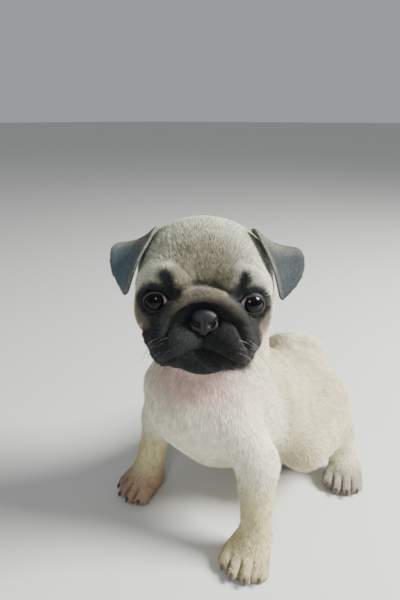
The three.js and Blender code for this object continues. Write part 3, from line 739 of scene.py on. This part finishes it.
ear_finish = fur_material("ear velvet", 0.16, 0.5, roughness=0.7, sheen=0.12)
ears = []
for side_name in ("left", "right"):
    ear = copy_of("ear_" + side_name, "velvet_ear_" + side_name)
    finish_with(ear, "DISPLACE", strength=EAR_SWELL, mid_level=0)
    finish_with(ear, "REMESH", mode="VOXEL", voxel_size=EAR_VOXEL)
    finish_with(ear, "SMOOTH", factor=0.5, iterations=EAR_ROUNDS)
    take(ear)
    bpy.ops.object.shade_smooth()
    ear.data.materials.append(ear_finish)
    paint(ear.data, ear_colour(corners_of(ear.data)))
    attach(ear, "root")
    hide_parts("ear_" + side_name)
    ears.append(ear)
    print(ear.name, "faces:", len(ear.data.polygons))

# %% [markdown]
# ## Eyes
# A puppy's eye is a ball with a slightly bulging cornea: a black pupil, a dark brown iris, and a
# sliver of white in the corner. Each ball is made at the eye's place, its front is drawn out a
# little, and how far each corner looks away from the gaze is stored for the material's rings.

# %% Eyes
GAZE_OUT = math.radians(17)
GAZE_UP = math.radians(2)
CORNEA_BULGE = 0.55


def eye_material():
    material, tree, shader = new_material("wet eye")
    stored = add_node(tree, "ShaderNodeAttribute", attribute_name="from_gaze")
    rings = add_node(tree, "ShaderNodeValToRGB")
    stops = rings.color_ramp
    stops.elements[0].position = 0.22
    stops.elements[0].color = (0.001, 0.001, 0.002, 1)
    stops.elements[1].position = 0.92
    stops.elements[1].color = (0.60, 0.44, 0.46, 1)
    for position, colour in (
        (0.34, (0.004, 0.003, 0.003, 1)),
        (0.58, (0.005, 0.004, 0.004, 1)),
        (0.67, (0.001, 0.001, 0.001, 1)),
        (0.72, (0.36, 0.28, 0.32, 1)),
    ):
        stops.elements.new(position).color = colour
    link(tree, stored.outputs["Fac"], rings.inputs["Fac"])
    link(tree, rings.outputs["Color"], shader.inputs["Base Color"])
    raised(tree, shader, noise(tree, 300.0), 0.03, 0.1)
    shader.inputs["Roughness"].default_value = 0.05
    shader.inputs["Specular IOR Level"].default_value = 0.18
    return material


wet_eye = eye_material()
for side_name, side in (("left", 1), ("right", -1)):
    spot = out_of_head([[side * eye_reach / MM, 0, 0]])[0]
    bpy.ops.object.select_all(action="DESELECT")
    bpy.ops.mesh.primitive_uv_sphere_add(
        segments=64, ring_count=40, radius=EYE_RADIUS * MM, location=spot
    )
    eye = bpy.context.object
    eye.name = "wet_eye_" + side_name
    bpy.ops.object.transform_apply(location=True, rotation=True, scale=True)
    gaze = np.array([side * math.sin(GAZE_OUT), -math.cos(GAZE_OUT), math.sin(GAZE_UP)])
    gaze = from_head[:3, :3] @ (gaze / np.linalg.norm(gaze))
    rays = corners_of(eye.data) - spot
    rays /= np.linalg.norm(rays, axis=1)[:, None]
    turned = np.arccos(np.clip(rays @ gaze, -1, 1))
    bulge = CORNEA_BULGE * np.exp(-((turned / 0.55) ** 2))
    move_corners(eye.data, spot + rays * (EYE_RADIUS + bulge)[:, None] * MM)
    layer = eye.data.attributes.new("from_gaze", "FLOAT", "POINT")
    layer.data.foreach_set("value", turned)
    bpy.ops.object.shade_smooth()
    eye.data.materials.append(wet_eye)
    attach(eye, "root")
    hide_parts("eye_" + side_name)
    print(eye.name, "faces:", len(eye.data.polygons))

# %% [markdown]
# The lids are a ring of bare, dark skin round each opening, thick at the edge that touches the ball
# and running out under the fur. Its wet inner edge is paler. A torus has the right joins already: only
# its corners are laid anew, by how far they are round the opening and round the ring's section.

# %% Lids
LID_REACH = 3.6
LID_HEIGHT = 0.85
LID_SKIN = tone(15, 13, 14)
LID_EDGE = tone(80, 71, 71)

lid_finish = fur_material("bare lid skin", 0.1, 0.35, roughness=0.55, sheen=0.0)
for side_name, side in (("left", 1), ("right", -1)):
    bpy.ops.object.select_all(action="DESELECT")
    bpy.ops.mesh.primitive_torus_add(
        major_segments=72, minor_segments=14, major_radius=1, minor_radius=0.25
    )
    lid = bpy.context.object
    lid.name = "lids_" + side_name
    ring = corners_of(lid.data)
    around = np.arctan2(ring[:, 1], ring[:, 0])
    section = np.arctan2(ring[:, 2], 1 - np.hypot(ring[:, 0], ring[:, 1]))
    out = LID_REACH * (1 - np.cos(section)) / 2
    upper = rise(np.sin(around), -0.2, 0.6)
    turned = opening(around) + out / EYE_RADIUS
    height = 0.35 + LID_HEIGHT * np.sin(section) * (1 + 0.35 * upper) - 0.16 * out
    outward, upward, ahead = eye_axes(side)
    way = np.cos(turned)[:, None] * ahead
    way = way + (np.sin(turned) * np.cos(around))[:, None] * outward
    way = way + (np.sin(turned) * np.sin(around))[:, None] * upward
    places = out_of_head(eye_spots[side] + way * (EYE_RADIUS + height)[:, None])
    move_corners(lid.data, places)
    take(lid)
    bpy.ops.object.mode_set(mode="EDIT")
    bpy.ops.mesh.select_all(action="SELECT")
    bpy.ops.mesh.normals_make_consistent(inside=False)
    bpy.ops.object.mode_set(mode="OBJECT")
    edge = np.exp(-((out / 0.3) ** 2)) * rise(np.sin(section), -0.6, 0.2) * (1 - upper)
    paint(lid.data, toward(np.tile(LID_SKIN, (len(out), 1)), LID_EDGE, edge))
    bpy.ops.object.shade_smooth()
    lid.data.materials.append(lid_finish)
    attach(lid, "root")
    print(lid.name, "faces:", len(lid.data.polygons))

# %% [markdown]
# ## Nose leather
# The bare nose is a pad with a slit nostril on each side and a groove down its middle, covered with
# tiny pebbles. It is taken over from the solids, remeshed fine, and its nostrils are pressed in.

# %% Nose
NOSE_VOXEL = 0.45 * MM
NOSTRIL_DEPTH = 2.6
NOSTRIL_WIDTH = 1.25
NOSE_NARROWED = 0.92
NOSE_FRONT = -16


def nose_material():
    material, tree, shader = new_material("moist nose leather")
    place = add_node(tree, "ShaderNodeTexCoord")
    pebbles = add_node(tree, "ShaderNodeTexVoronoi", Scale=1500.0)
    link(tree, place.outputs["Object"], pebbles.inputs["Vector"])
    raised(tree, shader, pebbles.outputs["Distance"], 0.5, 0.25)
    patches = noise(tree, 400.0, 3.0)
    two_tones(tree, shader, patches, (0.004, 0.004, 0.005), (0.012, 0.012, 0.015))
    shader.inputs["Roughness"].default_value = 0.5
    shader.inputs["Specular IOR Level"].default_value = 0.28
    return material


nose = copy_of("nose", "nose_leather_pad")
finish_with(nose, "REMESH", mode="VOXEL", voxel_size=NOSE_VOXEL)
finish_with(nose, "SMOOTH", factor=0.5, iterations=6)
places = corners_of(nose.data)
ways = normals_of(nose.data)
head = in_head(places)
for side in (1, -1):
    nostril = [(side * 3.4, -8.8), (side * 4.6, -8.7), (side * 6.2, -7.6), (side * 7.4, -6.4)]
    away = distance_to(nostril, head[:, [0, 2]])
    depth = NOSTRIL_DEPTH * np.exp(-((away / NOSTRIL_WIDTH) ** 2)) * (ways @ from_head[:3, 1] < 0.3)
    places -= ways * depth[:, None] * MM
groove = distance_to([(0, -7), (0, -15)], head[:, [0, 2]])
places -= ways * (0.5 * np.exp(-((groove / 0.6) ** 2)))[:, None] * MM
head = in_head(places)
head[:, 0] *= NOSE_NARROWED
flatter = NOSE_FRONT + (head[:, 1] - NOSE_FRONT) * 0.7
head[:, 1] = np.where(head[:, 1] < NOSE_FRONT, flatter, head[:, 1])
move_corners(nose.data, out_of_head(head))
take(nose)
bpy.ops.object.shade_smooth()
nose.data.materials.append(nose_material())
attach(nose, "root")
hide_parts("nose")
print("nose faces:", len(nose.data.polygons))

# %% [markdown]
# ## Claws
# The solids' claws have the right bend, so they stay and only get their finish: dark horn, finely
# mottled with a paler tone.

# %% Claws


def horn_material():
    material, tree, shader = new_material("dark claw horn")
    mottle = noise(tree, 700.0)
    two_tones(tree, shader, mottle, (0.030, 0.022, 0.018), (0.11, 0.08, 0.065))
    raised(tree, shader, mottle, 0.15, 0.1)
    shader.inputs["Roughness"].default_value = 0.35
    return material


horn = horn_material()
claws = [node for name, node in nodes.items() if name.startswith("claw_")]
for claw in claws:
    claw.data.materials.clear()
    claw.data.materials.append(horn)
print("claws:", len(claws))

# %% [markdown]
# ## The coat
# The coat is short and lies flat, so it is thousands of thin, curved blades, each with its root in
# the skin. First the skin is unwrapped, so that every tuft can carry its place on that unwrap.

# %% Unwrap of the skin


def triangles_of(mesh):
    """Each triangle's corners, and their places on the unwrap."""
    mesh.calc_loop_triangles()
    count = len(mesh.loop_triangles)
    ends = np.empty(count * 3, int)
    mesh.loop_triangles.foreach_get("vertices", ends)
    loops = np.empty(count * 3, int)
    mesh.loop_triangles.foreach_get("loops", loops)
    flat = np.empty(len(mesh.loops) * 2)
    mesh.uv_layers.active.data.foreach_get("uv", flat)
    return ends.reshape(-1, 3), flat.reshape(-1, 2)[loops].reshape(-1, 3, 2)


for piece in [skin, *ears]:
    take(piece)
    bpy.ops.object.mode_set(mode="EDIT")
    bpy.ops.mesh.select_all(action="SELECT")
    bpy.ops.uv.smart_project(angle_limit=math.radians(66), island_margin=0.002)
    bpy.ops.object.mode_set(mode="OBJECT")
    print(piece.name, "unwrapped")

# %% [markdown]
# Hair grows away from the nose, over the head and back along the body, down the legs, and out to the
# tip of an ear. This function gives that direction, before it is laid into the skin.

# %% The lie of the coat
nose_spot = np.array([0, -16, -8])


def lie_of_coat(points):
    """Which way the hair points at each place, before it is laid into the skin."""
    at = points / MM
    head = in_head(points)
    way = np.tile([0.0, 0.75, -0.65], (len(points), 1))
    way[:, 0] = np.sign(at[:, 0]) * 0.12
    front = rise(-at[:, 1], 30, 60)[:, None]
    way = way * (1 - front) + front * np.array([0, 0.05, -1.0])
    low = (1 - rise(at[:, 2], 36, 60))[:, None]
    way = way * (1 - low) + low * np.array([0, -0.15, -1.0])
    feet = (1 - rise(at[:, 2], 10, 20))[:, None]
    way = way * (1 - feet) + feet * np.array([0, -0.9, -0.35])
    from_nose = head - nose_spot
    from_nose /= np.linalg.norm(from_nose, axis=1)[:, None]
    from_nose[:, 1] += 0.35
    from_nose = from_nose @ from_head[:3, :3].T
    on_head = within(head, (0, 20, 4), (50, 50, 50), 0.12)[:, None]
    return way * (1 - on_head) + on_head * from_nose


# %% [markdown]
# All tufts of a piece are made at once as arrays, which is far quicker than one by one. First their
# roots are strewn over the skin by chance, with more of them where the coat is denser.


def corner_blend(values, ends, shares):
    """A value inside each triangle, from the values at its corners."""
    return (values[ends] * shares[:, :, None]).sum(axis=1)


def scatter(base, density):
    """Random places on a piece, so many per square millimetre: the roots, the skin's normals there
    and their places on the unwrap."""
    corners = corners_of(base.data)
    ends, places = triangles_of(base.data)
    edges = corners[ends]
    span = np.cross(edges[:, 1] - edges[:, 0], edges[:, 2] - edges[:, 0])
    area = np.linalg.norm(span, axis=1) / (2 * MM * MM)
    wanted = area * density(edges.mean(axis=1))
    share = 1.0
    count = chance.poisson(wanted * share)
    chosen = np.repeat(np.arange(len(ends)), count)
    shares = chance.dirichlet((1, 1, 1), len(chosen))
    root = corner_blend(corners, ends[chosen], shares)
    up = corner_blend(normals_of(base.data), ends[chosen], shares)
    up /= np.linalg.norm(up, axis=1)[:, None]
    return root, up, (places[chosen] * shares[:, :, None]).sum(axis=1)

# %% [markdown]
# A tuft is a blade of three triangles: wide at its root, narrower at its bend, and ending in a
# point. Its root lies a little under the skin, and its tip never goes through the floor.

# %% Blades of the tufts
ROOT_DEPTH = 0.25 * MM
FLOOR_GAP = 0.15 * MM


def blades_from(root, up, length, width, lift, way_of, spread):
    """The five corners of each blade, bent along the lie of the coat."""
    total = len(root)
    along = way_of(root)
    along += chance.normal(0, spread, along.shape)
    along -= up * (along * up).sum(axis=1)[:, None]
    along /= np.linalg.norm(along, axis=1)[:, None]
    across = np.cross(up, along)
    roll = chance.normal(0, 0.3, total)[:, None]
    across = across * np.cos(roll) + up * np.sin(roll)
    reach = (length(root) * chance.uniform(0.65, 1.25, total) * MM)[:, None]
    steep = (lift(root) * chance.uniform(0.5, 1.4, total))[:, None]
    half = (width(root) * chance.uniform(0.75, 1.25, total) * MM / 2)[:, None]
    bottom = root - up * ROOT_DEPTH
    bend = root + along * reach * 0.5 + up * reach * steep * 0.5
    tip = root + along * reach + up * reach * steep * 0.72
    for points in (bottom, bend, tip):
        points[:, 2] = np.maximum(points[:, 2], FLOOR_GAP)
    low = [bottom - across * half, bottom + across * half]
    middle = [bend - across * half * 0.7, bend + across * half * 0.7]
    return np.stack([*low, *middle, tip], axis=1)

# %% [markdown]
# Every blade takes its colour from the markings where its root is, and a small patch of the skin's
# unwrap, so that the coat can be baked. Then all of them become one mesh.

# %% Coat from the blades
HALF_PATCH = 0.0015


def blade_colours(root, tint):
    """Each blade's colour, by chance lighter or darker, and a few silver hairs on the face."""
    total = len(root)
    colour = tint(root)
    fleck = 0.13 + 0.22 * head_share(root)
    colour = colour * (1 + chance.normal(0, 1, total) * fleck).clip(0.4, 1.7)[:, None]
    silver = 0.05 * (chance.random(total) < 0.25) * face_share(root)
    colour = toward(colour, BROW_GREY, silver)
    colours = np.repeat(colour[:, None, :], 5, axis=1)
    # Painted shade: each blade is darker at its root, deep in the coat; its tip is a little lighter.
    colours[:, :2] *= 0.8
    colours[:, 4] *= 1.1
    return colours.reshape(-1, 3)


def mesh_of_blades(name, blade, colours, mark):
    """One piece of all the blades, with their colours and their patches on the unwrap."""
    total = len(blade)
    piece = bpy.data.objects.new(name, bpy.data.meshes.new(name))
    bpy.context.scene.collection.objects.link(piece)
    first = np.arange(total)[:, None] * 5
    faces = np.concatenate([first + [0, 1, 3], first + [0, 3, 2], first + [2, 3, 4]], axis=1)
    faces = faces.reshape(-1, 3)
    made = piece.data
    made.vertices.add(total * 5)
    made.vertices.foreach_set("co", blade.ravel())
    made.loops.add(faces.size)
    made.loops.foreach_set("vertex_index", faces.ravel())
    made.polygons.add(len(faces))
    made.polygons.foreach_set("loop_start", np.arange(len(faces)) * 3)
    made.update(calc_edges=True)
    paint(made, colours)
    patch = HALF_PATCH * np.array([[-1, -1], [1, -1], [-0.6, 0], [0.6, 0], [0, 1]])
    unwrap = (mark[:, None, :] + patch).reshape(-1, 2)
    layer = made.uv_layers.new(name="OFBake")
    layer.data.foreach_set("uv", unwrap[faces.ravel()].ravel())
    take(piece)
    bpy.ops.object.shade_smooth()
    print(name, "tufts:", total, "triangles:", len(faces))
    return piece


def grow(name, base, density, length, width, lift, tint=markings, way_of=lie_of_coat, spread=0.35):
    """Grows tufts on a piece. Density is per square millimetre, length and width in millimetres,
    and lift is how steeply a tuft rises from the skin."""
    root, up, mark = scatter(base, density)
    blade = blades_from(root, up, length, width, lift, way_of, spread)
    piece = mesh_of_blades(name, blade, blade_colours(root, tint), mark)
    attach(piece, "root")
    return piece


# %% [markdown]
# The coat is longest on the chest and back and shortest on the muzzle and toes. It is grown in
# pieces, each for its own stretch of the body, so that none gets too heavy.

# %% Where each stretch of the coat is


def head_share(points):
    return within(in_head(points), (0, 20, 2), (50, 50, 46), 0.02)


def face_share(points):
    return within(in_head(points), (0, -6, -12), (45, 24, 36), 0.02)


def mask_share(points):
    return within(in_head(points), (0, -8, -18), (32, 20, 26), 0.05)


def bare_share(points):
    """Where no hair grows: on the lids and under the nose pad."""
    head = in_head(points)
    bare = within(head, (0, -15, -8), (7.8, 8, 7), 0.1)
    for side in eye_spots:
        away, turned, around = seen_from_eye(head, side)[1:]
        on_lid = (turned < opening(around) + 0.26) & (away < EYE_RADIUS + 4)
        bare = np.maximum(bare, on_lid)
    return bare


def fringe_share(points):
    """Where longer hair hangs from the belly's edge, between the forelegs."""
    return within(points / MM, (10, -38, 54), (34, 26, 12), 0.5)


def coat_length(points):
    at = points / MM
    length = 5.2 + 0.8 * rise(-at[:, 1], 20, 50) + 2.0 * fringe_share(points)
    length -= 1.6 * (1 - rise(at[:, 2], 30, 62))
    length -= 1.8 * (1 - rise(at[:, 2], 8, 22))
    length -= (length - 4.2) * head_share(points)
    length -= (length - 2.3) * within(in_head(points), face_middle, (40, 26, 34), 0.4)
    return length - (length - 1.5) * mask_share(points)


def coat_lift(points):
    return 0.17 + 0.07 * head_share(points) + 0.12 * fringe_share(points)


def coat_width(points):
    return 0.38 - 0.1 * head_share(points) - 0.08 * face_share(points)


def left_half(points):
    return in_head(points)[:, 0] > 0


def trunk(points):
    return (1 - head_share(points)) * rise(points[:, 2] / MM, 46, 50)


def lower(points):
    return (1 - head_share(points)) * (1 - rise(points[:, 2] / MM, 46, 50))


coat_finish = fur_material("short soft coat", 0.12, 0.2, roughness=0.75, sheen=0.1)
stretches = {
    "coat_back": lambda p: 2.1 * trunk(p) * (p[:, 1] > 0),
    "coat_side": lambda p: 2.2 * trunk(p) * (p[:, 1] <= 0) * (p[:, 1] > -0.045),
    "coat_chest": lambda p: 2.6 * trunk(p) * (p[:, 1] <= -0.045),
    "coat_legs_front": lambda p: 3.6 * lower(p) * (p[:, 1] <= -0.02),
    "coat_legs_hind": lambda p: 2.6 * lower(p) * (p[:, 1] > -0.02),
    "coat_crown_left": lambda p: 6.0 * head_share(p) * (1 - face_share(p)) * left_half(p),
    "coat_crown_right": lambda p: 6.0 * head_share(p) * (1 - face_share(p)) * (1 - left_half(p)),
    "coat_face_left": lambda p: 11.0 * face_share(p) * (1 - bare_share(p)) * left_half(p),
    "coat_face_right": lambda p: 11.0 * face_share(p) * (1 - bare_share(p)) * (1 - left_half(p)),
}
for name, density in stretches.items():
    coat = grow(name, skin, density, coat_length, coat_width, coat_lift)
    coat.data.materials.append(coat_finish)

# %% [markdown]
# The ears' pile is shorter still, and runs from the fold to the tip.

# %% Pile of the ears


def ear_way(points):
    """From the fold out to the tip."""
    head = in_head(points)
    way = np.array([[0.25, -0.35, -1.0]]) * np.where(head[:, :1] > 0, [[1, 1, 1]], [[-1, 1, 1]])
    return way @ from_head[:3, :3].T


def evenly(value):
    """The same value everywhere, as a function of the place."""
    return lambda points: np.full(len(points), value)


for ear in ears:
    pile = grow(
        "pile_" + ear.name,
        ear,
        evenly(11.0),
        evenly(1.1),
        evenly(0.24),
        evenly(0.12),
        tint=ear_colour,
        way_of=ear_way,
        spread=0.2,
    )
    pile.data.materials.append(ear_finish)

# %% [markdown]
# ## Whiskers
# Thin, gently curved bristles: pale ones on the lips, and dark ones along the jaw and chin, where the
# photo shows them against the pale chest. Each is a tapered curve that starts in the skin and bends
# down with its own weight.

# %% Whiskers


def skin_front(x, z):
    """The front of the face at an x and z of the head's frame."""
    head = in_head(corners_of(skin.data))
    away = np.hypot(head[:, 0] - x, head[:, 2] - z) + np.maximum(head[:, 1], 0) * 10
    return head[away.argmin()]


def whisker_material(name, dark_tone, pale_tone):
    material, tree, shader = new_material(name)
    two_tones(tree, shader, noise(tree, 60.0), dark_tone, pale_tone, 0.42, 0.58)
    shader.inputs["Roughness"].default_value = 0.4
    return material


def bristles(name, roots, aim, length, thickness, finish):
    """Tapered bristles from places on the face, aimed outward, back and up, and shorter on the
    puppy's right, where the photo shows only stubs."""
    curve = bpy.data.curves.new(name, "CURVE")
    curve.dimensions = "3D"
    curve.bevel_depth = thickness * MM
    curve.bevel_resolution = 1
    curve.resolution_u = 4
    for x, z in roots:
        for side in (1, -1):
            root = skin_front(side * x, z)
            out = np.array(aim) * (side, 1, 1) + chance.normal(0, 0.18, 3) * (1, 0.3, 1)
            out /= np.linalg.norm(out)
            long = length * chance.uniform(0.8, 1.2) * (1 if side > 0 else 0.6)
            spline = curve.splines.new("BEZIER")
            spline.bezier_points.add(3)
            for i, point in enumerate(spline.bezier_points):
                t = i / 3
                place = root + out * long * t + np.array([0, 2.5, -4.5]) * t * t
                point.co = Vector(out_of_head([place])[0])
                point.handle_left_type = "AUTO"
                point.handle_right_type = "AUTO"
                point.radius = 1 - 0.75 * t
    piece = bpy.data.objects.new(name, curve)
    bpy.context.scene.collection.objects.link(piece)
    take(piece)
    bpy.ops.object.convert(target="MESH")
    piece = bpy.context.object
    piece.data.materials.append(finish)
    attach(piece, "root")
    print(name, len(roots) * 2)


lip_roots = [(14, -19), (17, -22), (20, -19), (21, -24), (24, -21), (23, -17), (18, -16), (26, -19)]
jaw_roots = [(25, -20), (26, -23), (24, -26), (27, -21), (22, -29), (18, -31)]
chin_roots = [(12, -34), (6, -35), (9, -36), (3, -35)]
pale = whisker_material("pale whisker", (0.16, 0.15, 0.14), (0.5, 0.48, 0.45))
dark = whisker_material("dark whisker", (0.006, 0.005, 0.005), (0.03, 0.027, 0.025))
bristles("whiskers_lip", lip_roots, (1.0, 0.1, -0.3), 11, 0.06, pale)
bristles("whiskers_jaw", jaw_roots, (0.85, 0.1, -0.9), 16, 0.15, dark)
bristles("whiskers_chin", chin_roots, (0.45, 0.0, -1.0), 8.5, 0.07, dark)

# %% [markdown]
# ## Floor and light
# A plain pale floor, a broad key light from the upper right and a little behind, a weak one from the
# front, and an even sky.

# %% Floor and lights
bpy.ops.object.select_all(action="DESELECT")
bpy.ops.mesh.primitive_plane_add(size=60, location=(0, 0, 0))
floor = bpy.context.object
floor.name = "floor"
floor_finish, _, floor_shader = new_material("pale floor")
floor_shader.inputs["Base Color"].default_value = (0.62, 0.62, 0.60, 1)
floor_shader.inputs["Roughness"].default_value = 0.9
floor.data.materials.append(floor_finish)


def softbox(name, place, target, size, power, colour):
    light = bpy.data.lights.new(name, "AREA")
    light.shape = "DISK"
    light.size = size
    light.energy = power
    light.color = colour
    lamp = bpy.data.objects.new(name, light)
    bpy.context.scene.collection.objects.link(lamp)
    lamp.location = place
    way = Vector(target) - Vector(place)
    lamp.rotation_euler = way.to_track_quat("-Z", "Y").to_euler()
    return lamp


softbox("key_light", (0.78, 0.46, 0.85), (0, -0.02, 0.1), 0.5, 52, (1.0, 1.0, 0.96))
softbox("front_light", (0.5, -0.95, 0.75), (0, -0.05, 0.12), 0.24, 3.4, (0.97, 0.99, 1.0))

world = bpy.data.worlds.new("even sky")
bpy.context.scene.world = world
world.use_nodes = True
sky = world.node_tree.nodes["Background"]
sky.inputs["Color"].default_value = (0.93, 0.97, 1.0, 1)
sky.inputs["Strength"].default_value = 0.38
